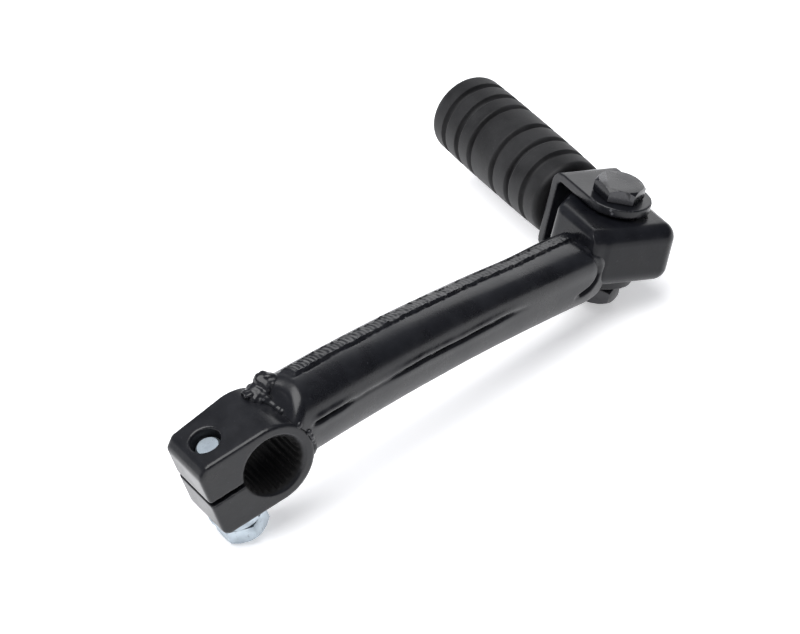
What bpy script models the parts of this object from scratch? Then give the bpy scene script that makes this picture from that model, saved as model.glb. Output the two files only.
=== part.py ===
"""Folding kick start lever: a splined clamp hub, a pressed tube arm welded to it,
a knuckle block at the outer end, and a fold-out pedal with a ribbed rubber.

Lengths below are in millimetres and angles in degrees; objects are built in metres.
World frame: origin on the shaft axis at the hub's mid width, +Y along the shaft
towards the pedal side, +Z up with the lever lying on a bench.
"""
from math import cos, pi, radians, sin, sqrt, tan

import bmesh
import bpy
from mathutils import Matrix, Vector

MM = 0.001
GAP = 0.3            # clearance between pieces that touch on the real lever
RUN = 0.3            # radial running clearance round pins and bolts

# bolts, M8
BOLT_R = 3.95
HEX_FLATS = 3.29 * BOLT_R
FLAT_WASHER_R = 2.03 * BOLT_R
FLAT_WASHER_T = 1.5
LOCK_WASHER_R = 1.75 * BOLT_R
LOCK_WASHER_T = 1.9

# hub
HUB_TILT = 19.5      # how far the hub leans back from level
HUB_WIDTH = 21.0
HUB_TAPER = 4.0      # draft of each side face towards the ear tips
HUB_WALL = 5.0       # from the bore's minor radius to the outside
SPLINE_MINOR_R = 8.0
SPLINE_MAJOR_R = SPLINE_MINOR_R + 0.9
SPLINE_TEETH = 24
HUB_R = SPLINE_MINOR_R + HUB_WALL    # also half the ear block's height
MOUTH_R = SPLINE_MAJOR_R + 1.2       # chamfered mouth of the bore
MOUTH_DEPTH = 1.7
SLIT = 1.6
CLAMP_REACH = SPLINE_MINOR_R + 3.6   # bore axis to clamp bolt axis
CLAMP_HEAD = 5.0
CLAMP_TIP_BELOW = 1.3
EAR_REACH = CLAMP_REACH + BOLT_R + 4.45   # bore axis to the end face of the ears
EAR_CHAMFER = 2.9

# knuckle block and its pivot
PIVOT = (141.0, 39.8, -5.4)
KNUCKLE_TILT = 14.7  # how far the knuckle leans forward from level
KNUCKLE_NEAR = 15.3  # pivot to the near face
KNUCKLE_BACK = 17.0  # pivot to the face that meets the arm
KNUCKLE_HALF_H = 9.0
KNUCKLE_ROUND = 2.0
BUSH_WALL = 0.9
BUSH_R = BOLT_R + RUN + BUSH_WALL
BALL_R = 2.2
BALL_REACH = BUSH_R + BALL_R + 1.35   # pivot axis to ball
BALL_STANDOFF = 0.1  # ball to the clevis face it rolls on
KNUCKLE_TIP = BALL_REACH + BALL_R + 2.6   # pivot to the end face, also the radius of the swept side
SPRING_WIRE = 0.35   # radius of the detent spring's wire
SPRING_TURNS = 4
POCKET_DEPTH = KNUCKLE_HALF_H + 1.0

# clevis
THRUST_T = 0.5
CLEVIS_SHEET = 2.7
CLEVIS_HALF_GAP = KNUCKLE_HALF_H + THRUST_T + 0.5
CLEVIS_HALF_W = BALL_REACH + 1.3
CLEVIS_REACH = KNUCKLE_TIP + 1.5 + CLEVIS_SHEET   # pivot to the wall's outer face
CLEVIS_BEND = CLEVIS_SHEET + 1.5
PIVOT_HEAD = 3.8
PIVOT_WASHER_T = 1.6
PIVOT_NUT = 4.4

# arm tube
ARM_START = HUB_R - 8.5   # x where the tube's centre line starts, inside the hub ring
ARM_END = PIVOT[0] - 6.0  # x where it stops before the knuckle's socket is cut
ARM_SPLAY_FROM = 10.0
ARM_LOW = (6.44, -6.56)   # centre line height at the hub and at the knuckle's back face
ARM_SAG = -0.0128         # slope of the centre line at the hub
ARM_WALL = 2.5
ARM_HALF_W = (10.3, 8.6)  # half width at the hub and at the knuckle
ARM_HALF_H = (HUB_R - 0.8, KNUCKLE_HALF_H - 0.5)   # half height at the hub and at the knuckle
ARM_ROUND = (2.5, 3.2)    # superellipse power at the hub and at the knuckle
ARM_STATIONS = 16
ARM_SIDES = 32
SEAM_WIDTH = 5.0
SEAM_T = 0.7
SEAM_OFFSET = 2.6    # seam's middle, away from the near side
SEAM_NARROWS = 0.35  # share of its width the seam loses along the arm
WELD_R = 1.5
TOP_WELD_SPAN = (7.0, -8.0)      # ends of the top bead across the tube, to its near side
UNDER_WELD_ANGLES = (215, 325)   # round the tube, 180 is its far side and 270 underneath

# pedal
STEM_R = 6.5
RUBBER_R = STEM_R + 5.9
RUBBER_START = CLEVIS_REACH + 1.9   # pivot to the rubber's near end
RUBBER_LENGTH = 55.4
RUBBER_END = RUBBER_START + RUBBER_LENGTH
RUBBER_CAP = 4.5     # rubber beyond the stem's end
GROOVES = tuple(RUBBER_LENGTH * share for share in (0.137, 0.262, 0.386, 0.594, 0.738, 0.874))
GROOVE_W = 1.9
GROOVE_DEPTH = 1.3
BARB_H = 1.2


def rotation_y(angle):
    return Matrix.Rotation(radians(angle), 4, 'Y')


HUB_FRAME = rotation_y(-HUB_TILT)
PIVOT_FRAME = Matrix.Translation(Vector(PIVOT) * MM) @ rotation_y(KNUCKLE_TILT)


# ---------------------------------------------------------------- scene helpers
def clear_scene():
    for obj in list(bpy.data.objects):
        bpy.data.objects.remove(obj, do_unlink=True)


def new_collection(name):
    collection = bpy.data.collections.new(name)
    bpy.context.scene.collection.children.link(collection)
    return collection


clear_scene()
PARTS = new_collection("kick_start_lever")
CUTTERS = new_collection("cutters")


def material(name, colour, roughness, metallic):
    mat = bpy.data.materials.new(name)
    mat.use_nodes = True
    shader = mat.node_tree.nodes["Principled BSDF"]
    shader.inputs["Base Color"].default_value = (*colour, 1.0)
    shader.inputs["Roughness"].default_value = roughness
    shader.inputs["Metallic"].default_value = metallic
    mat.diffuse_color = (*colour, 1.0)
    return mat


def black_paint(name):
    return material(name, (0.022, 0.023, 0.026), 0.38, 0.2)


def zinc_plate(name):
    return material(name, (0.66, 0.68, 0.70), 0.30, 1.0)


def bare_steel(name):
    return material(name, (0.42, 0.42, 0.43), 0.35, 1.0)


def finish_mesh(mesh, smooth):
    if smooth:
        mesh.shade_smooth()
        mesh.set_sharp_from_angle(angle=radians(35))


def place(name, mesh, frame, mat=None, smooth=True, parent=None):
    """Link a finished mesh as a named part; frame is its place in the world."""
    finish_mesh(mesh, smooth)
    mesh.name = name
    obj = bpy.data.objects.new(name, mesh)
    if mat is not None:
        mesh.materials.append(mat)
    PARTS.objects.link(obj)
    if parent is None:
        obj.matrix_world = frame
    else:
        obj.parent = parent
        obj.matrix_local = frame
    return obj


def cutter(name, mesh, frame):
    obj = bpy.data.objects.new("cut_" + name, mesh)
    obj.matrix_world = frame
    obj.hide_render = True
    obj.display_type = 'WIRE'
    CUTTERS.objects.link(obj)
    return obj


def boolean(target, tool, operation='DIFFERENCE'):
    mod = target.modifiers.new(tool.name, 'BOOLEAN')
    mod.operation = operation
    mod.solver = 'EXACT'
    mod.object = tool


def bevel(target, width, segments=2, angle=40):
    mod = target.modifiers.new("edge_round", 'BEVEL')
    mod.width = width * MM
    mod.segments = segments
    mod.limit_method = 'ANGLE'
    mod.angle_limit = radians(angle)


# ---------------------------------------------------------------- mesh makers
def mesh_from_bmesh(bm):
    mesh = bpy.data.meshes.new("mesh")
    bm.to_mesh(mesh)
    bm.free()
    return mesh


def box_mesh(low, high):
    bm = bmesh.new()
    bmesh.ops.create_cube(bm, size=1.0)
    size = [(high[i] - low[i]) * MM for i in range(3)]
    middle = [(high[i] + low[i]) / 2 * MM for i in range(3)]
    bmesh.ops.scale(bm, vec=size, verts=bm.verts)
    bmesh.ops.translate(bm, vec=middle, verts=bm.verts)
    return mesh_from_bmesh(bm)


def cylinder_mesh(r1, r2, z1, z2, sides=32, centre=(0.0, 0.0)):
    """Cylinder or cone along Z from z1 (radius r1) up to z2 (radius r2)."""
    bm = bmesh.new()
    bmesh.ops.create_cone(bm, cap_ends=True, segments=sides, radius1=r1 * MM, radius2=r2 * MM,
                          depth=(z2 - z1) * MM)
    bmesh.ops.translate(bm, vec=(centre[0] * MM, centre[1] * MM, (z1 + z2) / 2 * MM), verts=bm.verts)
    return mesh_from_bmesh(bm)


def sphere_mesh(radius, centre, rings=10):
    bm = bmesh.new()
    bmesh.ops.create_uvsphere(bm, u_segments=2 * rings, v_segments=rings, radius=radius * MM)
    bmesh.ops.translate(bm, vec=Vector(centre) * MM, verts=bm.verts)
    return mesh_from_bmesh(bm)


def evaluated_mesh(obj):
    """Mesh of an object as it stands, with loose caps welded; the object is removed."""
    depsgraph = bpy.context.evaluated_depsgraph_get()
    mesh = bpy.data.meshes.new_from_object(obj.evaluated_get(depsgraph))
    bm = bmesh.new()
    bm.from_mesh(mesh)
    bmesh.ops.remove_doubles(bm, verts=bm.verts, dist=0.000002)
    bm.to_mesh(mesh)
    bm.free()
    bpy.data.objects.remove(obj, do_unlink=True)
    return mesh


def poly_curve(name, loops, closed, dimensions):
    curve = bpy.data.curves.new(name, 'CURVE')
    curve.dimensions = dimensions
    for points in loops:
        spline = curve.splines.new('POLY')
        spline.points.add(len(points) - 1)
        for point, co in zip(spline.points, points):
            z = co[2] if len(co) > 2 else 0.0
            point.co = (co[0] * MM, co[1] * MM, z * MM, 1.0)
        spline.use_cyclic_u = closed
    return curve


def slab_mesh(outline, half_thickness):
    """Flat outline in XY, extruded both ways along Z."""
    curve = poly_curve("slab", [outline], True, '2D')
    curve.fill_mode = 'BOTH'
    curve.extrude = half_thickness * MM
    obj = bpy.data.objects.new("slab", curve)
    bpy.context.scene.collection.objects.link(obj)
    mesh = evaluated_mesh(obj)
    bm = bmesh.new()
    bm.from_mesh(mesh)
    bmesh.ops.dissolve_limit(bm, angle_limit=radians(0.5), verts=bm.verts, edges=bm.edges)
    bm.to_mesh(mesh)
    bm.free()
    return mesh


def wire_mesh(points, radius, closed=False):
    curve = poly_curve("wire", [points], closed, '3D')
    curve.bevel_depth = radius * MM
    curve.bevel_resolution = 2
    curve.use_fill_caps = not closed
    obj = bpy.data.objects.new("wire", curve)
    bpy.context.scene.collection.objects.link(obj)
    return evaluated_mesh(obj)


def turned(name, profile, mat, frame, steps=32, parent=None):
    """Solid of revolution about local Z; profile runs from the top down its outer side."""
    bm = bmesh.new()
    verts = [bm.verts.new((r * MM, 0.0, z * MM)) for r, z in profile]
    for a, b in zip(verts, verts[1:]):
        bm.edges.new((a, b))
    if min(profile[0][0], profile[-1][0]) > 0.0:
        bm.edges.new((verts[-1], verts[0]))
    obj = place(name, mesh_from_bmesh(bm), frame, mat, False, parent)
    mod = obj.modifiers.new("turn", 'SCREW')
    mod.axis = 'Z'
    mod.steps = steps
    mod.render_steps = steps
    mod.use_merge_vertices = True
    mod.merge_threshold = 0.000005
    mod.use_smooth_shade = True
    return obj


def ring_profile(inner, outer, z1, z2, edge=0.15):
    """Washer section from its top inner edge round its outer side to its lower inner edge."""
    return [(inner, z2), (outer - edge, z2), (outer, z2 - edge), (outer, z1 + edge),
            (outer - edge, z1), (inner, z1)]


def arc(centre, radius, start, end, steps):
    points = []
    for i in range(steps + 1):
        a = radians(start + (end - start) * i / steps)
        points.append((centre[0] + radius * cos(a), centre[1] + radius * sin(a)))
    return points


# ---------------------------------------------------------------- hub
UPRIGHT = Matrix.Rotation(pi / 2, 4, 'X')    # turns a slab's XY outline into XZ, extrusion along Y


def hub_outline():
    points = arc((0, 0), HUB_R, -90, 90, 28)
    points += [(-(EAR_REACH - EAR_CHAMFER), HUB_R), (-EAR_REACH, HUB_R - EAR_CHAMFER * 0.9)]
    points += [(-EAR_REACH, -(HUB_R - 1.4)), (-(EAR_REACH - 1.4), -HUB_R)]
    return points


def spline_outline():
    points = []
    pitch = 2 * pi / SPLINE_TEETH
    for i in range(SPLINE_TEETH):
        for share, radius in ((0.05, SPLINE_MINOR_R), (0.30, SPLINE_MAJOR_R),
                              (0.70, SPLINE_MAJOR_R), (0.95, SPLINE_MINOR_R)):
            a = (i + share) * pitch
            points.append((radius * cos(a), radius * sin(a)))
    return points


def split_at_bore(mesh):
    """An edge across each side face in line with the bore, where the draft starts."""
    bm = bmesh.new()
    bm.from_mesh(mesh)
    geom = bm.verts[:] + bm.edges[:] + bm.faces[:]
    bmesh.ops.bisect_plane(bm, geom=geom, dist=1e-7, plane_co=(0, 0, 0), plane_no=(1, 0, 0))
    bm.to_mesh(mesh)
    bm.free()


def build_hub(mat):
    mesh = slab_mesh(hub_outline(), HUB_WIDTH / 2)
    mesh.transform(UPRIGHT)
    split_at_bore(mesh)
    draft = tan(radians(HUB_TAPER))
    for vert in mesh.vertices:
        inset = max(0.0, -vert.co.x) * draft
        vert.co.y -= inset if vert.co.y > 0 else -inset
    hub = place("hub_clamp", mesh, HUB_FRAME, mat)
    bevel(hub, 0.9)
    spline = slab_mesh(spline_outline(), HUB_WIDTH)
    boolean(hub, cutter("spline", spline, HUB_FRAME @ UPRIGHT))
    for side in (1, -1):
        face = HUB_WIDTH / 2
        mouth = cylinder_mesh(SPLINE_MINOR_R - 1.0, MOUTH_R + 0.6, face - MOUTH_DEPTH - 1.2, face + 0.5, 40)
        flip = Matrix.Rotation(-side * pi / 2, 4, 'X')
        boolean(hub, cutter("mouth", mouth, HUB_FRAME @ flip))
    slit = box_mesh((-EAR_REACH - 5, -HUB_WIDTH, -SLIT / 2), (-SPLINE_MINOR_R + 1.5, HUB_WIDTH, SLIT / 2))
    boolean(hub, cutter("slit", slit, HUB_FRAME))
    hole = cylinder_mesh(BOLT_R + RUN, BOLT_R + RUN, -HUB_R - 5, HUB_R + 5, 28, (-CLAMP_REACH, 0))
    boolean(hub, cutter("clamp_hole", hole, HUB_FRAME))
    sink = cylinder_mesh(BOLT_R - 0.2, BOLT_R + 1.1, HUB_R - 1.3, HUB_R + 0.5, 28, (-CLAMP_REACH, 0))
    boolean(hub, cutter("clamp_sink", sink, HUB_FRAME))
    return hub


def hex_bolt(name, mat, frame, flats, head_z, shank_r, shank_end, chamfer, parent=None):
    """Hex head between the two heights of head_z, and a round shank on to shank_end."""
    corner = flats / 2 / cos(pi / 6)
    head = place(name, cylinder_mesh(corner, corner, head_z[0], head_z[1], 6), frame, mat, True, parent)
    world = frame if parent is None else PIVOT_FRAME @ frame
    crown = cylinder_mesh(corner * 0.99, corner * 0.99, head_z[0], head_z[1], 40)
    bm = bmesh.new()
    bm.from_mesh(crown)
    edges = [e for e in bm.edges if abs(e.verts[0].co.z - e.verts[1].co.z) < 1e-7]
    bmesh.ops.bevel(bm, geom=edges, offset=0.6 * MM, segments=1, affect='EDGES')
    bm.to_mesh(crown)
    bm.free()
    boolean(head, cutter(name + "_crown", crown, world), 'INTERSECT')
    middle = (head_z[0] + head_z[1]) / 2
    tip = shank_end - chamfer if shank_end > middle else shank_end + chamfer
    low, high = min(tip, middle), max(tip, middle)
    shank = cylinder_mesh(shank_r, shank_r, low, high, 28)
    boolean(head, cutter(name + "_shank", shank, world), 'UNION')
    r1, r2 = (shank_r, shank_r - chamfer) if shank_end > middle else (shank_r - chamfer, shank_r)
    nose = cylinder_mesh(r1, r2, min(tip, shank_end), max(tip, shank_end), 28)
    boolean(head, cutter(name + "_nose", nose, world), 'UNION')
    return head


def split_washer(washer, z, frame):
    """Cut the slit of a spring lock washer whose upper face is at height z."""
    slit = box_mesh((0, -0.5, z - 5), (LOCK_WASHER_R + 3, 0.5, z + 3))
    boolean(washer, cutter(washer.name + "_slit", slit, frame @ Matrix.Rotation(radians(-60), 4, 'Z')))


def build_clamp_fasteners():
    axis = HUB_FRAME @ Matrix.Translation(Vector((-CLAMP_REACH, 0, 0)) * MM)
    hole = BOLT_R + RUN
    z = -HUB_R - GAP
    turned("clamp_flat_washer", ring_profile(hole, FLAT_WASHER_R, z - FLAT_WASHER_T, z),
           zinc_plate("zinc_flat_washer"), axis)
    z -= FLAT_WASHER_T + GAP
    lock = turned("clamp_lock_washer", ring_profile(hole, LOCK_WASHER_R, z - LOCK_WASHER_T, z),
                  zinc_plate("zinc_lock_washer"), axis)
    split_washer(lock, z, axis)
    z -= LOCK_WASHER_T + GAP
    hex_bolt("clamp_bolt", zinc_plate("zinc_clamp_bolt"), axis, HEX_FLATS, (z - CLAMP_HEAD, z),
             BOLT_R, HUB_R - CLAMP_TIP_BELOW, 0.8)


# ---------------------------------------------------------------- arm
def knuckle_back_x():
    return PIVOT[0] - KNUCKLE_BACK * cos(radians(KNUCKLE_TILT))


ARM_SPLAY = (PIVOT[1] - KNUCKLE_NEAR + 7.0) / (knuckle_back_x() - ARM_SPLAY_FROM)
ARM_BEND = (ARM_LOW[1] - ARM_LOW[0]) / knuckle_back_x() ** 2 - ARM_SAG / knuckle_back_x()


def arm_centre(x):
    return Vector((x, ARM_SPLAY * (x - ARM_SPLAY_FROM), ARM_LOW[0] + ARM_SAG * x + ARM_BEND * x * x))


def arm_axes(x):
    """Direction along the arm, towards its near side, and up across it."""
    slope = ARM_SAG + 2 * ARM_BEND * x
    along = Vector((1.0, ARM_SPLAY, slope)).normalized()
    near = Vector((ARM_SPLAY, -1.0, 0.0)).normalized()
    up = near.cross(along).normalized()
    return along, near, up if up.z > 0 else -up


def arm_share(x):
    return min(1.0, max(0.0, x / knuckle_back_x()))


def mix(pair, share):
    return pair[0] + (pair[1] - pair[0]) * share


def arm_point(x, angle, inset=0.0):
    """Point on the tube's skin; angle 0 is its near side and 90 its top."""
    share = arm_share(x)
    along, near, up = arm_axes(x)
    power = 2 / mix(ARM_ROUND, share)
    c, s = cos(radians(angle)), sin(radians(angle))
    w = (mix(ARM_HALF_W, share) - inset) * abs(c) ** power * (1 if c >= 0 else -1)
    h = (mix(ARM_HALF_H, share) - inset) * abs(s) ** power * (1 if s >= 0 else -1)
    return arm_centre(x) + near * w + up * h


def loft_mesh(rings, closed_ends):
    bm = bmesh.new()
    rows = [[bm.verts.new(p * MM) for p in ring] for ring in rings]
    count = len(rows[0])
    for row, after in zip(rows, rows[1:]):
        for j in range(count):
            k = (j + 1) % count
            bm.faces.new((row[j], row[k], after[k], after[j]))
    if closed_ends:
        bm.faces.new(rows[0])
        bm.faces.new(list(reversed(rows[-1])))
    bmesh.ops.recalc_face_normals(bm, faces=bm.faces)
    return mesh_from_bmesh(bm)


def arm_rings(start, end, inset, stations=ARM_STATIONS):
    rings = []
    for i in range(stations + 1):
        x = start + (end - start) * i / stations
        rings.append([arm_point(x, 360 * (j + 0.5) / ARM_SIDES, inset) for j in range(ARM_SIDES)])
    return rings


def build_arm(mat):
    arm = place("arm_tube", loft_mesh(arm_rings(ARM_START, ARM_END, 0.0), True), Matrix(), mat)
    inner = loft_mesh(arm_rings(ARM_START - 3, ARM_END + 3, ARM_WALL), True)
    boolean(arm, cutter("arm_bore", inner, Matrix()))
    ring = cylinder_mesh(HUB_R + GAP, HUB_R + GAP, -40, 40, 64)
    boolean(arm, cutter("arm_cope", ring, UPRIGHT))
    block = slab_mesh([(-KNUCKLE_BACK - GAP, -KNUCKLE_NEAR - GAP), (KNUCKLE_TIP + 20, -KNUCKLE_NEAR - GAP),
                       (KNUCKLE_TIP + 20, 30), (-KNUCKLE_BACK - GAP, 30)], KNUCKLE_HALF_H + 6)
    boolean(arm, cutter("arm_socket", block, PIVOT_FRAME))
    return arm


def arm_top(x, across):
    """Point on the tube's upper skin, across millimetres to the near side of its centre line."""
    share = arm_share(x)
    along, near, up = arm_axes(x)
    power = mix(ARM_ROUND, share)
    height = (1 - abs(across / mix(ARM_HALF_W, share)) ** power) ** (1 / power)
    return arm_centre(x) + near * across + up * height * mix(ARM_HALF_H, share)


def build_seam(mat):
    """Flat weld bead along the top of the tube, a little away from the near side."""
    start, end = HUB_R + 2.0, knuckle_back_x() - 4.0
    rings = []
    for i in range(ARM_STATIONS + 1):
        x = start + (end - start) * i / ARM_STATIONS
        up = arm_axes(x)[2]
        half = SEAM_WIDTH / 2 * (1 - SEAM_NARROWS * arm_share(x))
        spots = [half * (j / 2 - 1) - SEAM_OFFSET for j in range(5)]
        lower = [arm_top(x, spot) + up * GAP for spot in spots]
        crown = (0.25, 0.9, 1.0, 0.9, 0.25)
        upper = [p + up * SEAM_T * share for p, share in zip(lower, crown)]
        rings.append(lower + list(reversed(upper)))
    return place("arm_seam_weld", loft_mesh(rings, True), Matrix(), mat)


def build_hub_welds():
    """Beads clear of the tube and the hub by the gap: one on top, one round the underside."""
    keep = WELD_R + GAP + 0.1
    along, near, _ = arm_axes(ARM_START)
    points = []
    for i in range(9):
        spot = arm_centre(ARM_START) + near * mix(TOP_WELD_SPAN, i / 8) - along * keep
        points.append((spot.x, spot.y, sqrt((HUB_R + keep) ** 2 - spot.x ** 2)))
    place("hub_weld_top", wire_mesh(points, WELD_R), Matrix(), black_paint("paint_weld_top"))
    points = []
    for j in range(17):
        angle = mix(UNDER_WELD_ANGLES, j / 16)
        low, high = 0.0, 40.0
        for _ in range(40):
            x = (low + high) / 2
            p = arm_point(x, angle, -keep)
            if sqrt(p.x ** 2 + p.z ** 2) < HUB_R + keep:
                low = x
            else:
                high = x
        points.append(arm_point(low, angle, -keep))
    place("hub_weld_under", wire_mesh(points, WELD_R), Matrix(), black_paint("paint_weld_under"))


# ---------------------------------------------------------------- knuckle and pivot
def knuckle_outline():
    points = [(-KNUCKLE_BACK, -KNUCKLE_NEAR), (KNUCKLE_TIP, -KNUCKLE_NEAR)]
    points += arc((0, 0), KNUCKLE_TIP, 0, 125, 18)
    points += [(-KNUCKLE_BACK, 4.5)]
    return points


def ball_centre():
    return (-BALL_REACH, 0.0, -(CLEVIS_HALF_GAP - BALL_STANDOFF - BALL_R))


def build_knuckle(mat):
    knuckle = place("knuckle", slab_mesh(knuckle_outline(), KNUCKLE_HALF_H), PIVOT_FRAME, mat)
    bevel(knuckle, KNUCKLE_ROUND, 3)
    bore = cylinder_mesh(BUSH_R + GAP, BUSH_R + GAP, -20, 20, 32)
    boolean(knuckle, cutter("pivot_bore", bore, PIVOT_FRAME))
    top = -KNUCKLE_HALF_H + POCKET_DEPTH
    pocket = cylinder_mesh(BALL_R + RUN, BALL_R + RUN, -KNUCKLE_HALF_H - 4, top, 24, (-BALL_REACH, 0))
    boolean(knuckle, cutter("detent_pocket", pocket, PIVOT_FRAME))
    return knuckle


def build_pivot_internals():
    inner = BOLT_R + RUN
    turned("pivot_bush", ring_profile(inner, BUSH_R, -KNUCKLE_HALF_H, KNUCKLE_HALF_H),
           bare_steel("bush_steel"), PIVOT_FRAME, 28)
    middle = (KNUCKLE_HALF_H + CLEVIS_HALF_GAP) / 2
    for name, z in (("thrust_washer_upper", middle), ("thrust_washer_lower", -middle)):
        turned(name, ring_profile(inner, BALL_REACH - BALL_R - GAP, z - THRUST_T / 2, z + THRUST_T / 2, 0.1),
               bare_steel(name + "_steel"), PIVOT_FRAME, 28)
    place("detent_ball", sphere_mesh(BALL_R, (0, 0, 0)),
          PIVOT_FRAME @ Matrix.Translation(Vector(ball_centre()) * MM), bare_steel("ball_steel"))
    coil_r = BALL_R - SPRING_WIRE - 0.1
    low = ball_centre()[2] + BALL_R + SPRING_WIRE + GAP
    high = -KNUCKLE_HALF_H + POCKET_DEPTH - SPRING_WIRE - GAP
    count = SPRING_TURNS * 12
    coil = []
    for i in range(count + 1):
        a = 2 * pi * SPRING_TURNS * i / count
        coil.append((coil_r * cos(a), coil_r * sin(a), low + (high - low) * i / count))
    place("detent_spring", wire_mesh(coil, SPRING_WIRE),
          PIVOT_FRAME @ Matrix.Translation(Vector((-BALL_REACH, 0, 0)) * MM), bare_steel("spring_steel"))


# ---------------------------------------------------------------- clevis and pedal
def clevis_side():
    """Closed U outline, local X along the pedal and local Y up the pivot axis."""
    outer = CLEVIS_HALF_GAP + CLEVIS_SHEET
    reach = CLEVIS_REACH
    bend = CLEVIS_BEND
    inner_bend = bend - CLEVIS_SHEET
    wall = reach - CLEVIS_SHEET
    points = [(-CLEVIS_HALF_W - 2, outer)]
    points += arc((reach - bend, outer - bend), bend, 90, 0, 6)
    points += arc((reach - bend, -outer + bend), bend, 0, -90, 6)
    points += [(-CLEVIS_HALF_W - 2, -outer), (-CLEVIS_HALF_W - 2, -CLEVIS_HALF_GAP)]
    points += arc((wall - inner_bend, -CLEVIS_HALF_GAP + inner_bend), inner_bend, -90, 0, 3)
    points += arc((wall - inner_bend, CLEVIS_HALF_GAP - inner_bend), inner_bend, 0, 90, 3)
    points += [(-CLEVIS_HALF_W - 2, CLEVIS_HALF_GAP)]
    return points


def build_clevis(mat, pivot):
    mesh = slab_mesh(clevis_side(), CLEVIS_HALF_W)
    turn = Matrix(((0, 0, 1, 0), (1, 0, 0, 0), (0, 1, 0, 0), (0, 0, 0, 1)))
    mesh.transform(turn)
    clevis = place("clevis", mesh, Matrix(), mat, True, pivot)
    plan = arc((0, 0), CLEVIS_HALF_W, 180, 360, 24)
    plan += [(CLEVIS_HALF_W + 0.01, CLEVIS_REACH + 5), (-CLEVIS_HALF_W - 0.01, CLEVIS_REACH + 5)]
    boolean(clevis, cutter("clevis_plan", slab_mesh(plan, 40), PIVOT_FRAME), 'INTERSECT')
    bore = cylinder_mesh(BOLT_R + RUN, BOLT_R + RUN, -40, 40, 28)
    boolean(clevis, cutter("clevis_bore", bore, PIVOT_FRAME))
    x, y, z = ball_centre()
    for name, spot in (("ridden", (x, y, z)), ("folded", (y, x, z))):
        dimple = sphere_mesh(BALL_R + 0.4, spot)
        boolean(clevis, cutter("dimple_" + name, dimple, PIVOT_FRAME))
    return clevis


def build_pivot_bolt(pivot):
    face = CLEVIS_HALF_GAP + CLEVIS_SHEET + GAP
    washer_low = -face - PIVOT_WASHER_T
    nut_high = washer_low - GAP
    nut_low = nut_high - PIVOT_NUT
    hex_bolt("pivot_bolt", black_paint("paint_pivot_bolt"), Matrix(), HEX_FLATS, (face, face + PIVOT_HEAD),
             BOLT_R, nut_low - 0.6, 0.8, pivot)
    washer = turned("pivot_lock_washer", ring_profile(BOLT_R + RUN, LOCK_WASHER_R, washer_low, -face),
                    black_paint("paint_pivot_washer"), Matrix(), 28, pivot)
    split_washer(washer, -face, PIVOT_FRAME)
    corner = HEX_FLATS / 2 / cos(pi / 6)
    nut = place("pivot_nut", cylinder_mesh(corner, corner, nut_low, nut_high, 6), Matrix(),
                black_paint("paint_pivot_nut"), True, pivot)
    bevel(nut, 0.35, 1)
    bore = cylinder_mesh(BOLT_R + RUN, BOLT_R + RUN, -60, 0, 28)
    boolean(nut, cutter("nut_bore", bore, PIVOT_FRAME))


ALONG_PEDAL = Matrix.Rotation(-pi / 2, 4, 'X')   # a turned part's Z becomes the pedal's length


def stem_profile(extra=0.0):
    """Stem from its far end back to the clevis, with two retaining barbs; extra grows it all round."""
    end = RUBBER_END - RUBBER_CAP
    start = CLEVIS_REACH + GAP
    r = STEM_R + extra
    barb = r + BARB_H
    points = [(0.0, end + extra), (r - 1.0, end + extra), (r, end - 1.0 + extra)]
    for top in (end - 6.0, end - 28.0):
        points += [(r, top), (barb, top - 4.0), (barb, top - 5.5), (r, top - 5.5 - extra)]
    points += [(r, start - 3 * extra), (0.0, start - 3 * extra)]
    return points


def rubber_radius(z):
    """Slight barrel shape, fullest at mid length."""
    return RUBBER_R - 0.4 * abs((z - RUBBER_START) / RUBBER_LENGTH * 2 - 1) ** 3


def rubber_profile():
    """Outer skin from the far end to the near end, then back up the bore."""
    points = [(0.0, RUBBER_END)]
    nose = 2.6
    top_r = rubber_radius(RUBBER_END)
    for r, z in arc((top_r - nose, RUBBER_END - nose), nose, 90, 0, 4):
        points.append((r, z))
    for distance in GROOVES:
        z = RUBBER_END - distance
        half = GROOVE_W / 2
        r = rubber_radius(z)
        points += [(r, z + half), (r - GROOVE_DEPTH, z + half * 0.5)]
        points += [(r - GROOVE_DEPTH, z - half * 0.5), (r, z - half)]
    points += [(RUBBER_R - 1.2, RUBBER_START + 0.7), (RUBBER_R - 1.9, RUBBER_START)]
    bore = stem_profile(GAP)[:-1]
    bore[-1] = (STEM_R + GAP, RUBBER_START)
    points += list(reversed(bore))
    return points


def build_pedal(pivot):
    turned("pedal_stem", stem_profile(), black_paint("paint_stem"), ALONG_PEDAL, 28, pivot)
    weld_top = RUBBER_START - GAP
    start = CLEVIS_REACH + GAP
    inner = STEM_R + GAP
    turned("stem_weld", [(inner, weld_top), (inner + 0.4, weld_top), (inner + 2.4, start + 0.3),
                         (inner + 2.4, start), (inner, start)],
           black_paint("paint_stem_weld"), ALONG_PEDAL, 28, pivot)
    turned("pedal_rubber", rubber_profile(), material("rubber", (0.016, 0.016, 0.017), 0.62, 0.0),
           ALONG_PEDAL, 32, pivot)


def main():
    build_hub(black_paint("paint_hub"))
    build_clamp_fasteners()
    build_arm(black_paint("paint_arm"))
    build_seam(black_paint("paint_seam"))
    build_hub_welds()
    build_knuckle(black_paint("paint_knuckle"))
    build_pivot_internals()
    pivot = bpy.data.objects.new("pedal_pivot", None)
    PARTS.objects.link(pivot)
    pivot.matrix_world = PIVOT_FRAME
    build_clevis(black_paint("paint_clevis"), pivot)
    build_pivot_bolt(pivot)
    build_pedal(pivot)
    bpy.context.view_layer.update()


main()
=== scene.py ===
import math
import bpy
from mathutils import Matrix, Vector, noise


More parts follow.
